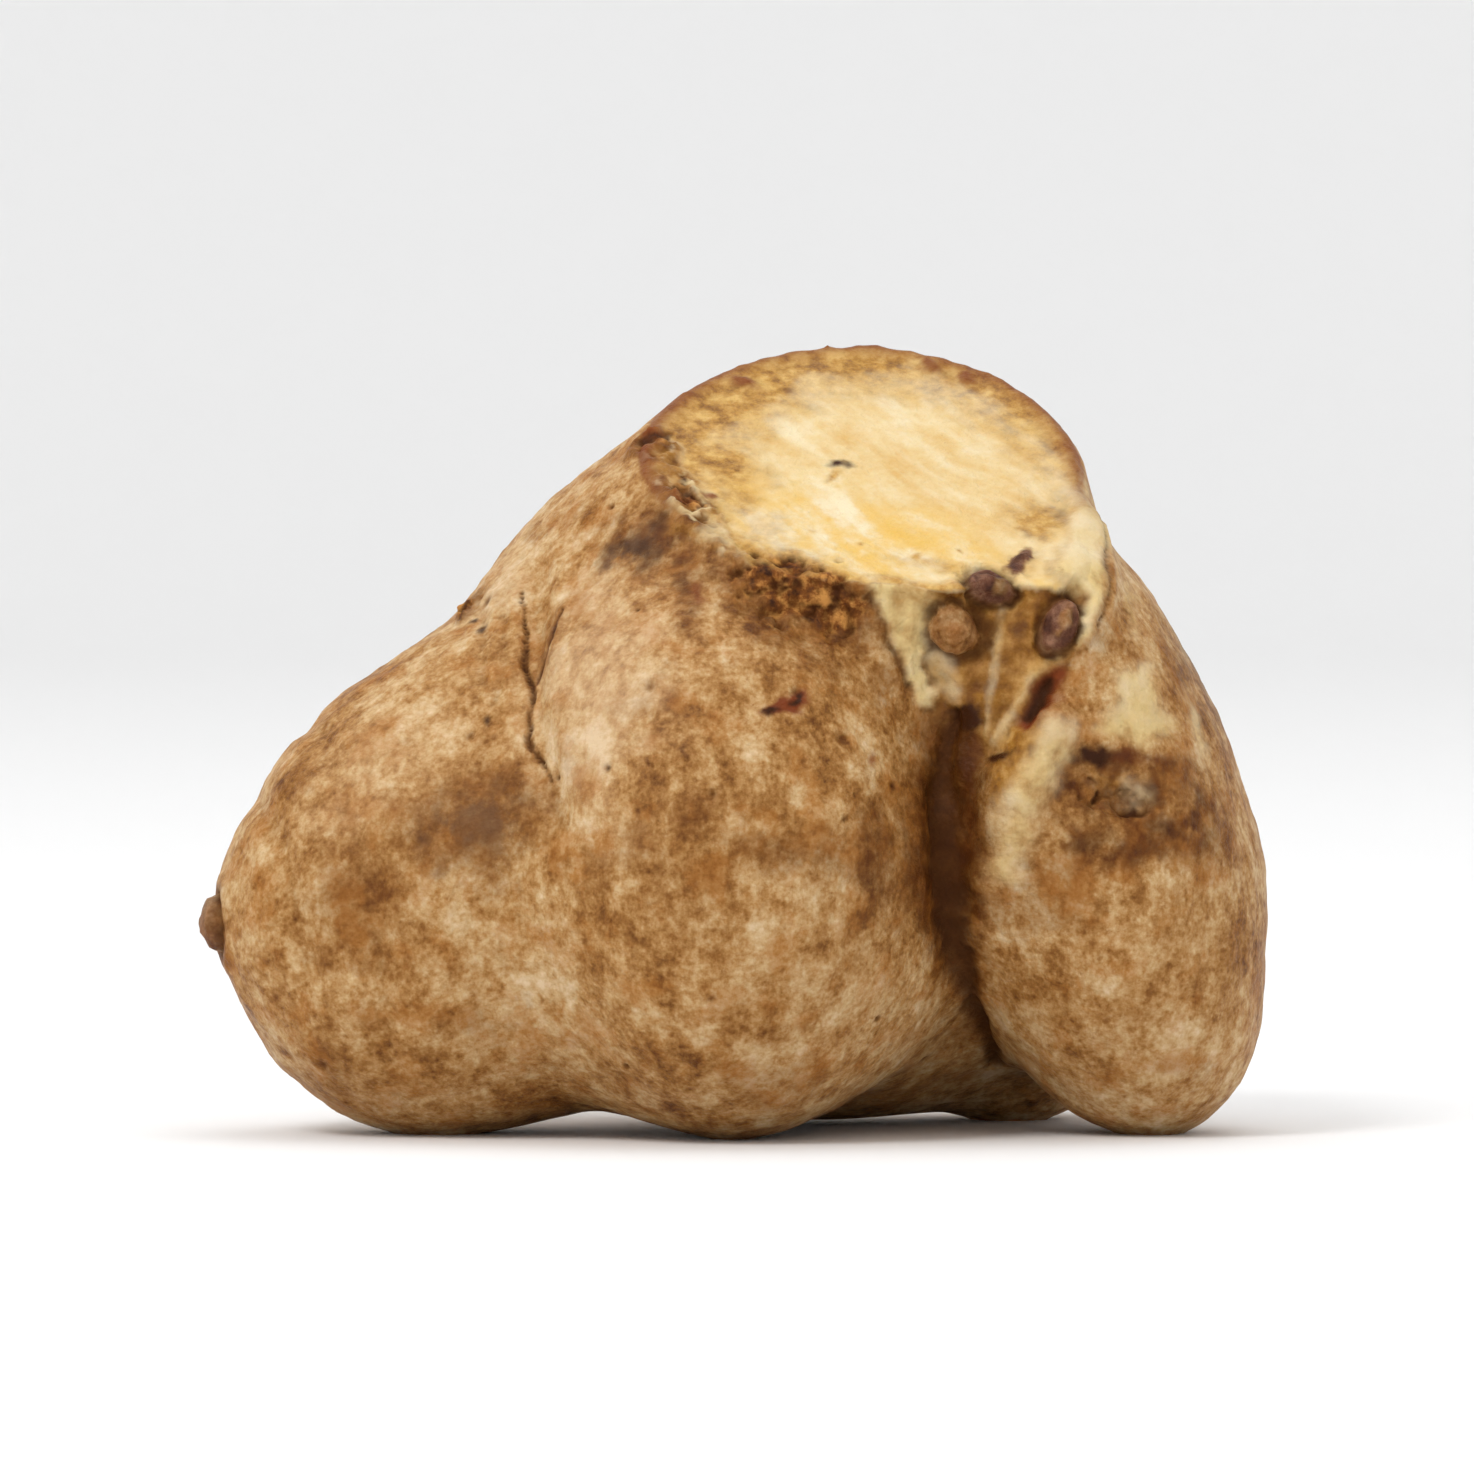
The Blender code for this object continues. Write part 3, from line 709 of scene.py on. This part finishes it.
def spike(skin):
    """The dark shoot that stands between the eyes and reaches over the cut's lower rim."""
    out = oval(skin, "front", (18.5, 38.2), (0.6, 1.75), -14, 0.2, 0.8, 27)
    inside = smoothstep(1.3, 0.8, out)
    skin.masks["flesh"] *= 1 - inside
    skin.paint("bud", inside)
    skin.paint("dark", 0.5 * smoothstep(0.8, 0.3, out))
    skin.raise_by(0.45 * hill(out, 0.8))


def front_marks(skin):
    work(skin, "front", LIMB_MARKS)
    torn_rim(skin)
    work(skin, "front", TORN_MARKS + RECESS_MARKS)
    right_fold(skin)
    work(skin, "front", FOLD_MARKS + RIGHT_LOBE_MARKS + CUT_MARKS)
    tufts(skin)
    work(skin, "front", FRONT_EYES)
    specks(skin)
    spike(skin)
    work(skin, "front", LAST_MARKS)


# -------- marks all round

OTHER_MARKS = {
    "back": (
        (eye, (-15.7, 30.7), (2.1, 1.7), 15, 0.45, 0.8),
        (eye, (23.5, 9.1), (2.0, 1.5), -10, 0.4, 0.8),
        (eye, (9.9, 35.5), (2.2, 1.5), 20, 0.4, 0.8),
        (scab, (-2.5, 22.0), (2.8, 1.7), 15, -0.1, 0.8, 42),
        (stain, "grey", (8.0, 18.0), (6.0, 4.5), 10, 0.7, 0.4, 4),
        (stain, "brown", (-20.0, 22.0), (6.0, 4.0), 20, 0.7, 0.5, 3),
        (stain, "cream", (17.0, 30.0), (3.5, 5.0), -20, 0.6, 0.5, 3),
    ),
    "left": ((eye, (-5.2, 14.1), (1.7, 1.9), 0, 0.6),),
    "right": (
        (scab, (5.9, 25.0), (1.7, 3.2), -35, -0.3, 0.9, 41),
        (stain, "grey", (-4.0, 30.0), (4.0, 5.0), 0, 0.6, 0.4, 4),
    ),
    "under": ((scab, (3.0, -2.0), (3.0, 2.2), 40, -0.1, 0.8, 43),),
}

# A ring is the scar of a leaf that went round a knob: its middle, the way its plane faces, its
# reach, and how strongly it shows.
RINGS = (
    ((-11.65, 13.8, 27.15), (-0.5, 0.74, 0.46), 11, 1.0),
    ((-13.65, 17.3, 29.55), (-0.5, 0.74, 0.46), 9, 1.0),
    ((-26.05, -4.0, 15.15), (-0.96, -0.2, -0.17), 14, 0.2),
    ((-30.25, -5.0, 14.55), (-0.96, -0.2, -0.17), 9, 0.4),
    ((19.45, 14.7, 10.35), (0.65, 0.68, -0.3), 11, 1.0),
)

PIT_COUNT = 40
# The masks that leave no room for a pit.
NO_PITS = ("flesh", "scab", "gold", "cream", "brown", "bud")


def other_marks(skin):
    for side, rows in OTHER_MARKS.items():
        work(skin, side, rows)


def rings(skin):
    """Sharpens each leaf-scar ring with a thin step and a brown line."""
    step_height, line_depth = 0.08, 0.12
    wander = 0.35 * cloud(skin.points, 4, 2, 51)
    broken = smoothstep(-0.3, 0.6, cloud(skin.points, 3.2, 2, 52))
    for middle, facing, reach, strength in RINGS:
        away = skin.points - np.array(middle)
        inside = strength * np.clip(reach - np.linalg.norm(away, axis=1), 0, 1)
        level = away @ unit(np.array(facing)) + wander
        skin.raise_by(inside * (step_height * hill(level + 0.7, 0.5) - line_depth * hill(level, 0.45)))
        skin.paint("patch", 0.7 * inside * broken * hill(level, 0.6))


def pits(skin):
    """Small pits where thin roots came off, scattered over the skin."""
    draw = np.random.default_rng(RANDOM_SEED)
    for index in draw.choice(len(skin.points), PIT_COUNT, replace=False):
        if any(skin.masks[name][index] > 0.1 for name in NO_PITS):
            continue
        radius = draw.uniform(0.25, 0.6)
        near = skin.near(skin.points[index], 4 * radius)
        out = np.full(len(skin.points), FAR_OUT)
        out[near] = np.linalg.norm(skin.points[near] - skin.points[index], axis=1) / radius
        skin.raise_by(-0.15 * hill(out, 0.8) + 0.06 * hill(out - 1.5, 0.5))
        skin.paint("brown", 0.8 * hill(out, 0.8))
        skin.paint("dark", draw.uniform(0, 0.5) * hill(out, 0.5))


def unevenness(skin):
    """The skin's own unevenness: broad swells, small lumps and fine wrinkles along the limb."""
    swells, lumps, wrinkles, limb_wrinkles = 0.32, 0.10, 0.04, 0.07
    free = 1 - skin.masks["flesh"]
    free *= smoothstep(0.0, 2.0, skin.points[:, 2])
    free *= 1 - smoothstep(0.0, 0.25, skin.cut_share(10))
    skin.raise_by(free * swells * cloud(skin.points, 9, 2, 61))
    skin.raise_by(free * lumps * cloud(skin.points, 2.6, 3, 62))
    upright = skin.points * (1, 1, 0.28)
    left = smoothstep(-4, -14, skin.points[:, 0])
    skin.raise_by(free * (wrinkles + limb_wrinkles * left) * cloud(upright, 1.3, 3, 63))


def carve(skin):
    """Moves each point out by its relief, and keeps the resting flats where they are."""
    keep = smoothstep(0.0, 1.5, skin.points[:, 2])
    skin.points += (skin.lift * keep)[:, None] * skin.normals
    skin.write()


def mark_hollow_shade(skin):
    """Marks the creases and dips for painted shade that darkens them, with some soil and old skin."""
    for rounds, depth in ((10, 0.16), (60, 0.7)):
        sunk = np.einsum("ij,ij->i", skin.evened(skin.points, rounds) - skin.points, skin.normals)
        skin.paint("hollow", smoothstep(0.15 * depth, depth, sunk))


def store(skin):
    """Keeps the masks and the fibres' run as point attributes, which the material reads."""
    for name, values in skin.masks.items():
        layer = skin.mesh.attributes.new(name, "FLOAT", "POINT")
        layer.data.foreach_set("value", values.astype(np.float32))
    layer = skin.mesh.attributes.new("grain", "FLOAT_VECTOR", "POINT")
    layer.data.foreach_set("vector", skin.grain.astype(np.float32).ravel())


# -------- the material

# Colours are linear red, green and blue, and a ramp's stops are (place, colour).
GOLD = (0.330, 0.145, 0.018)
BROWN = (0.125, 0.036, 0.004)
CREAM = (0.700, 0.520, 0.235)
GOLD_TONES = ((0.34, (0.170, 0.060, 0.007)), (0.50, GOLD), (0.66, (0.520, 0.290, 0.080)))
BROWN_TONES = ((0.36, (0.062, 0.015, 0.002)), (0.52, BROWN), (0.66, (0.260, 0.095, 0.016)))
CREAM_TONES = ((0.22, GOLD), (0.40, CREAM), (0.64, (0.750, 0.610, 0.375)))
SKIN_TONES = (
    (0.34, (0.120, 0.038, 0.006)),
    (0.43, (0.280, 0.120, 0.027)),
    (0.50, (0.425, 0.222, 0.074)),
    (0.57, (0.550, 0.352, 0.162)),
    (0.68, (0.700, 0.525, 0.325)),
)
SCAB_TONES = ((0.38, (0.045, 0.017, 0.008)), (0.48, (0.200, 0.065, 0.012)), (0.58, (0.540, 0.250, 0.062)))
BUD_TONES = ((0.36, (0.046, 0.014, 0.008)), (0.50, (0.125, 0.046, 0.024)), (0.64, (0.300, 0.150, 0.085)))
FLESH_TONES = ((0.32, (0.650, 0.400, 0.130)), (0.49, (0.722, 0.535, 0.262)), (0.66, (0.780, 0.655, 0.425)))
RIM_TONES = ((0.34, (0.205, 0.078, 0.011)), (0.48, (0.445, 0.224, 0.042)), (0.64, (0.640, 0.400, 0.126)))
PATCH = (0.190, 0.068, 0.012)
RUDDY = (0.400, 0.145, 0.022)
PALE = (0.640, 0.442, 0.268)
GREY = (0.108, 0.055, 0.028)
RUST = (0.180, 0.038, 0.008)
DARK_SOIL_AND_SHADE = (0.040, 0.010, 0.001)
HOLLOW_SHADE_AND_SOIL = (0.085, 0.029, 0.006)
MILK = (0.82, 0.72, 0.49)
YOLK = (0.760, 0.460, 0.075)

# How far each soft paint moves the skin's own tone, before any tint goes over it.
TONE_SHIFTS = (("pale", 0.085), ("patch", -0.07), ("brown", -0.09))

# Soft paints over the skin: the mask, how far it covers, how much of that is patchy, and the scale
# and stops of the noise that tints it, or 0 and its one colour.
PAINTS = (
    ("pale", 0.30, 0.65, 0, PALE),
    ("patch", 0.42, 0.45, 0, PATCH),
    ("gold", 0.90, 0.45, 750, GOLD_TONES),
    ("brown", 0.78, 0.45, 750, BROWN_TONES),
    ("cream", 0.95, 0.45, 300, CREAM_TONES),
)

# The slope of the limb in degrees, and the span across, in metres, where streaks turn to follow it.
LIMB_SLOPE = 41
LIMB_START, LIMB_FULL = -0.010, -0.018


class Tree:
    """A short way to write a material: its calls make nodes and give their outputs."""

    def __init__(self, name):
        self.material = bpy.data.materials.new(name)
        self.material.use_nodes = True
        self.nodes = self.material.node_tree.nodes
        self.links = self.material.node_tree.links
        self.shader = self.nodes["Principled BSDF"]

    def feed(self, socket, value):
        """Links an output to the socket, or sets the socket's own value."""
        if isinstance(value, bpy.types.NodeSocket):
            self.links.new(value, socket)
        else:
            socket.default_value = (*value, 1) if socket.type == "RGBA" else value

    def node(self, kind, output, inputs, **settings):
        """Makes a node with those settings and inputs, and gives one of its outputs."""
        made = self.nodes.new(kind)
        for name, value in settings.items():
            setattr(made, name, value)
        for name, value in inputs.items():
            self.feed(made.inputs[name], value)
        return made.outputs[output]

    def surface(self, inputs):
        """Feeds the shader's sockets, and gives the material."""
        for name, value in inputs.items():
            self.feed(self.shader.inputs[name], value)
        return self.material

    def place(self):
        """Where the point is on the object, in metres."""
        return self.node("ShaderNodeTexCoord", "Object", {})

    def across(self, place):
        return self.node("ShaderNodeSeparateXYZ", "X", {"Vector": place})

    def stretched(self, place, sizes):
        return self.node("ShaderNodeMapping", "Vector", {"Vector": place, "Scale": sizes})

    def turned(self, place, degrees):
        """The place turned about the axis that points back, so that x runs up the limb's slope."""
        inputs = {"Vector": place, "Angle": radians(degrees)}
        return self.node("ShaderNodeVectorRotate", "Vector", inputs, rotation_type="Y_AXIS")

    def mask(self, name, output="Fac"):
        return self.node("ShaderNodeAttribute", output, {}, attribute_name=name)

    def sum(self, kind, *values):
        made = self.nodes.new("ShaderNodeMath")
        made.operation = kind
        for socket, value in zip(made.inputs, values):
            self.feed(socket, value)
        return made.outputs[0]

    def product(self, first, second):
        return self.sum("MULTIPLY", first, second)

    def tone(self, *parts):
        """A number about 0.5, moved by each (value, share) part."""
        tone = 0.5 - 0.5 * sum(share for _, share in parts)
        for value, share in parts:
            tone = self.sum("ADD", tone, self.product(value, share))
        return tone

    def noise(self, place, scale, detail=4.0, roughness=0.55):
        inputs = {"Vector": place, "Scale": scale, "Detail": detail, "Roughness": roughness}
        return self.node("ShaderNodeTexNoise", "Fac", inputs)

    def cells(self, place, scale):
        return self.node("ShaderNodeTexVoronoi", "Distance", {"Vector": place, "Scale": scale})

    def between(self, value, low, high):
        """0 below low and 1 above high, and the other way round where low is the higher."""
        inputs = {"Value": value, "From Min": low, "From Max": high}
        return self.node("ShaderNodeMapRange", "Result", inputs, interpolation_type="SMOOTHSTEP")

    def ramp(self, value, stops):
        made = self.nodes.new("ShaderNodeValToRGB")
        self.feed(made.inputs["Fac"], value)
        band = made.color_ramp.elements
        band[0].position, band[0].color = stops[0][0], (*stops[0][1], 1)
        band[1].position, band[1].color = stops[-1][0], (*stops[-1][1], 1)
        for spot, colour in stops[1:-1]:
            band.new(spot).color = (*colour, 1)
        return made.outputs["Color"]

    def mix(self, share, first, second, kind="RGBA"):
        """A colour, or with the kind FLOAT a number, between two others."""
        inputs = {"Factor": share, "A": first, "B": second}
        return self.node("ShaderNodeMix", "Result", inputs, data_type=kind)

    def bump(self, height, distance, strength, **normal):
        inputs = {"Height": height, "Distance": distance, "Strength": strength, **normal}
        return self.node("ShaderNodeBump", "Normal", inputs)


def skin_colour(tree, place):
    """Mottled brown: broad clouds, streaks up the tuber and along its limb, dark patches, specks."""
    upright = tree.noise(tree.stretched(place, (1, 1, 0.3)), 520, 4, 0.6)
    sloping = tree.noise(tree.stretched(tree.turned(place, LIMB_SLOPE), (0.28, 1, 1)), 420, 4, 0.6)
    on_limb = tree.between(tree.across(place), LIMB_START, LIMB_FULL)
    streaks = tree.mix(on_limb, upright, sloping, "FLOAT")
    tone = tree.tone(
        (tree.noise(place, 100, 3), 0.28),
        (streaks, 0.32),
        (tree.noise(place, 500, 6, 0.65), 0.46),
        (tree.noise(place, 1300, 3, 0.6), 0.22),
        (tree.noise(place, 2700, 2, 0.6), 0.20),
    )
    for name, shift in TONE_SHIFTS:
        tone = tree.sum("MULTIPLY_ADD", tree.mask(name), shift, tone)
    colour = tree.ramp(tone, SKIN_TONES)
    patches = tree.between(tree.noise(place, 170, 5, 0.62), 0.52, 0.66)
    colour = tree.mix(tree.product(patches, 0.32), colour, PATCH)
    ruddy = tree.between(tree.noise(place, 330, 5, 0.65), 0.50, 0.64)
    colour = tree.mix(tree.product(ruddy, 0.36), colour, RUDDY)
    specks = tree.between(tree.cells(place, 820), 0.27, 0.10)
    specks = tree.product(specks, tree.between(tone, 0.56, 0.44))
    return tree.mix(tree.product(specks, 0.5), colour, PATCH)


def flesh_colour(tree, place):
    """Cream flesh: soft clouds, a few long pale streaks, a yellow core and a browned rim."""
    grain = tree.mask("grain", "Vector")
    tone = tree.tone(
        (tree.noise(grain, 0.45, 3, 0.5), 0.62),
        (tree.noise(place, 170, 3, 0.5), 0.6),
        (tree.noise(place, 1300, 3), 0.25),
    )
    colour = tree.ramp(tone, FLESH_TONES)
    pale = tree.between(tree.noise(grain, 0.55, 3, 0.5), 0.45, 0.74)
    colour = tree.mix(tree.product(pale, 0.42), colour, MILK)
    yolk = tree.product(tree.mask("yolk"), tree.between(tone, 0.66, 0.40))
    colour = tree.mix(tree.product(yolk, 0.68), colour, YOLK)
    browned = tree.ramp(tree.noise(place, 700, 5, 0.65), RIM_TONES)
    return tree.mix(tree.mask("rim"), colour, browned)


def painted(tree, place, patchy, colour):
    """The skin's colour with the soft paints and the grey film over it."""
    for name, share, patchiness, scale, tint in PAINTS:
        there = tree.mask(name)
        uneven = tree.between(tree.sum("ADD", patchy, tree.product(there, 0.35)), 0.42, 0.78)
        amount = tree.product(there, tree.sum("MULTIPLY_ADD", uneven, patchiness, 1 - patchiness))
        if scale:
            tint = tree.ramp(tree.noise(place, scale), tint)
        colour = tree.mix(tree.product(amount, share), colour, tint)
    grey = tree.product(tree.mask("grey"), tree.between(patchy, 0.36, 0.58))
    return tree.mix(tree.product(grey, 0.9), colour, GREY)


def tuber_material():
    tree = Tree("tuber skin and flesh")
    place = tree.place()
    patchy = tree.noise(place, 600, 5, 0.65)
    colour = painted(tree, place, patchy, skin_colour(tree, place))
    colour = tree.mix(tree.mask("flesh"), colour, flesh_colour(tree, place))
    coarse = tree.noise(place, 950, 4, 0.65)
    crusty = tree.sum("MULTIPLY_ADD", coarse, 0.6, tree.product(patchy, 0.4))
    colour = tree.mix(tree.mask("scab"), colour, tree.ramp(crusty, SCAB_TONES))
    colour = tree.mix(tree.mask("bud"), colour, tree.ramp(crusty, BUD_TONES))
    # Painted shade in the creases and dips, with some soil.
    colour = tree.mix(tree.product(tree.mask("hollow"), 0.62), colour, HOLLOW_SHADE_AND_SOIL)
    colour = tree.mix(tree.mask("red"), colour, RUST)
    # The dark mask: real dark spots and soil, and painted shade in the crevice and along the fold.
    colour = tree.mix(tree.mask("dark"), colour, DARK_SOIL_AND_SHADE)
    rough = tree.sum("ADD", 0.36, tree.product(patchy, 0.22))
    for name, more in (("scab", 0.3), ("hollow", 0.35)):
        rough = tree.sum("ADD", rough, tree.product(tree.mask(name), more))
    fine = tree.bump(tree.noise(place, 2600, 3, 0.6), 0.0004, 0.35)
    lumps = tree.bump(tree.noise(place, 900, 4, 0.6), 0.0008, 0.3, Normal=fine)
    return tree.surface({
        "Base Color": colour,
        "Roughness": rough,
        "Normal": lumps,
        "Specular IOR Level": 0.13,
        "Subsurface Weight": 0.12,
        "Subsurface Radius": (1.0, 0.45, 0.2),
        "Subsurface Scale": 0.0012,
    })


# -------- the stage

# The floor, in metres: the radius of its flat part, the radius of its bend, and its wall's top.
FLOOR_FLAT, FLOOR_BEND, WALL_TOP = 1.6, 0.8, 2.6
FLOOR_SIDES = 96
FLOOR_COLOUR = (0.9, 0.9, 0.9)

# The lamps: where each hangs and how wide it is, in metres, and its power in watts.
LAMPS = (
    ("key", (-0.50, -0.70, 0.95), 0.40, 5.5),
    ("top", (0.10, 0.15, 1.2), 0.7, 2.0),
)
SKY_STRENGTH = 1.05

# The camera: its lens and sensor in mm, its climb above level, and the tuber's share of the width.
LENS, SENSOR = 300, 36
CLIMB = radians(1.5)
SHARE_OF_WIDTH = 0.72


def make_floor():
    """A wide pale floor that curves up into a wall all round, well outside the camera's path."""
    angles = np.linspace(0.1, pi / 2, 14)
    profile = [(0.0, 0.0), (FLOOR_FLAT, 0.0)]
    profile += [(FLOOR_FLAT + FLOOR_BEND * sin(a), FLOOR_BEND - FLOOR_BEND * cos(a)) for a in angles]
    profile.append((FLOOR_FLAT + FLOOR_BEND, WALL_TOP))
    bowl = bmesh.new()
    line = [bowl.verts.new((x, 0, z)) for x, z in profile]
    line += [bowl.edges.new(pair) for pair in zip(line, line[1:])]
    bmesh.ops.spin(bowl, geom=line, axis=(0, 0, 1), cent=(0, 0, 0), steps=FLOOR_SIDES, angle=2 * pi)
    bmesh.ops.remove_doubles(bowl, verts=bowl.verts, dist=1e-5)
    bmesh.ops.recalc_face_normals(bowl, faces=bowl.faces)
    mesh = bpy.data.meshes.new("floor")
    bowl.to_mesh(mesh)
    bowl.free()
    mesh.shade_smooth()
    floor = bpy.data.objects.new("floor", mesh)
    floor.location.z = CAD_BOX[0].z
    bpy.context.scene.collection.objects.link(floor)
    mesh.materials.append(Tree("floor").surface({"Base Color": FLOOR_COLOUR, "Roughness": 0.9}))


def hang(name, thing, spot, way, track):
    """Puts a lamp or camera at its spot, with its track axis along the way."""
    holder = bpy.data.objects.new(name, thing)
    holder.location = spot
    holder.rotation_mode = "QUATERNION"
    holder.rotation_quaternion = way.to_track_quat(track, "Y")
    bpy.context.scene.collection.objects.link(holder)
    return holder


def make_lights():
    world = bpy.data.worlds.new("soft daylight")
    bpy.context.scene.world = world
    world.use_nodes = True
    sky = world.node_tree.nodes["Background"]
    sky.inputs["Color"].default_value = (1.0, 1.0, 1.0, 1)
    sky.inputs["Strength"].default_value = SKY_STRENGTH
    for name, spot, size, power in LAMPS:
        lamp = bpy.data.lights.new(name, "AREA")
        lamp.shape, lamp.size, lamp.energy = "DISK", size, power
        hang(name, lamp, spot, Vector(spot), "Z")


def make_camera():
    """A long lens a little above the tuber's middle, in front of it."""
    low, high = CAD_BOX
    middle = (low + high) / 2
    camera = bpy.data.cameras.new("camera")
    camera.lens, camera.sensor_width = LENS, SENSOR
    camera.clip_start, camera.clip_end = 0.05, 10
    frame_width = (high.x - low.x) / SHARE_OF_WIDTH
    distance = frame_width / (camera.sensor_width / camera.lens)
    back = Vector((0, -cos(CLIMB), sin(CLIMB)))
    bpy.context.scene.camera = hang("camera", camera, middle + back * distance, -back, "-Z")


# -------- all of it


def make_stage():
    make_floor()
    make_lights()
    make_camera()
    bpy.context.scene.view_settings.view_transform = "Standard"


def make_tuber():
    piece = fine_copy()
    skin = Skin(piece)
    skin.even_out()
    cut_face(skin)
    front_marks(skin)
    other_marks(skin)
    rings(skin)
    pits(skin)
    unevenness(skin)
    carve(skin)
    mark_hollow_shade(skin)
    edge_browning(skin)
    store(skin)
    piece.data.materials.clear()
    piece.data.materials.append(tuber_material())
    piece.data.shade_smooth()
    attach(piece, "root")
    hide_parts(NODE)


make_stage()
make_tuber()
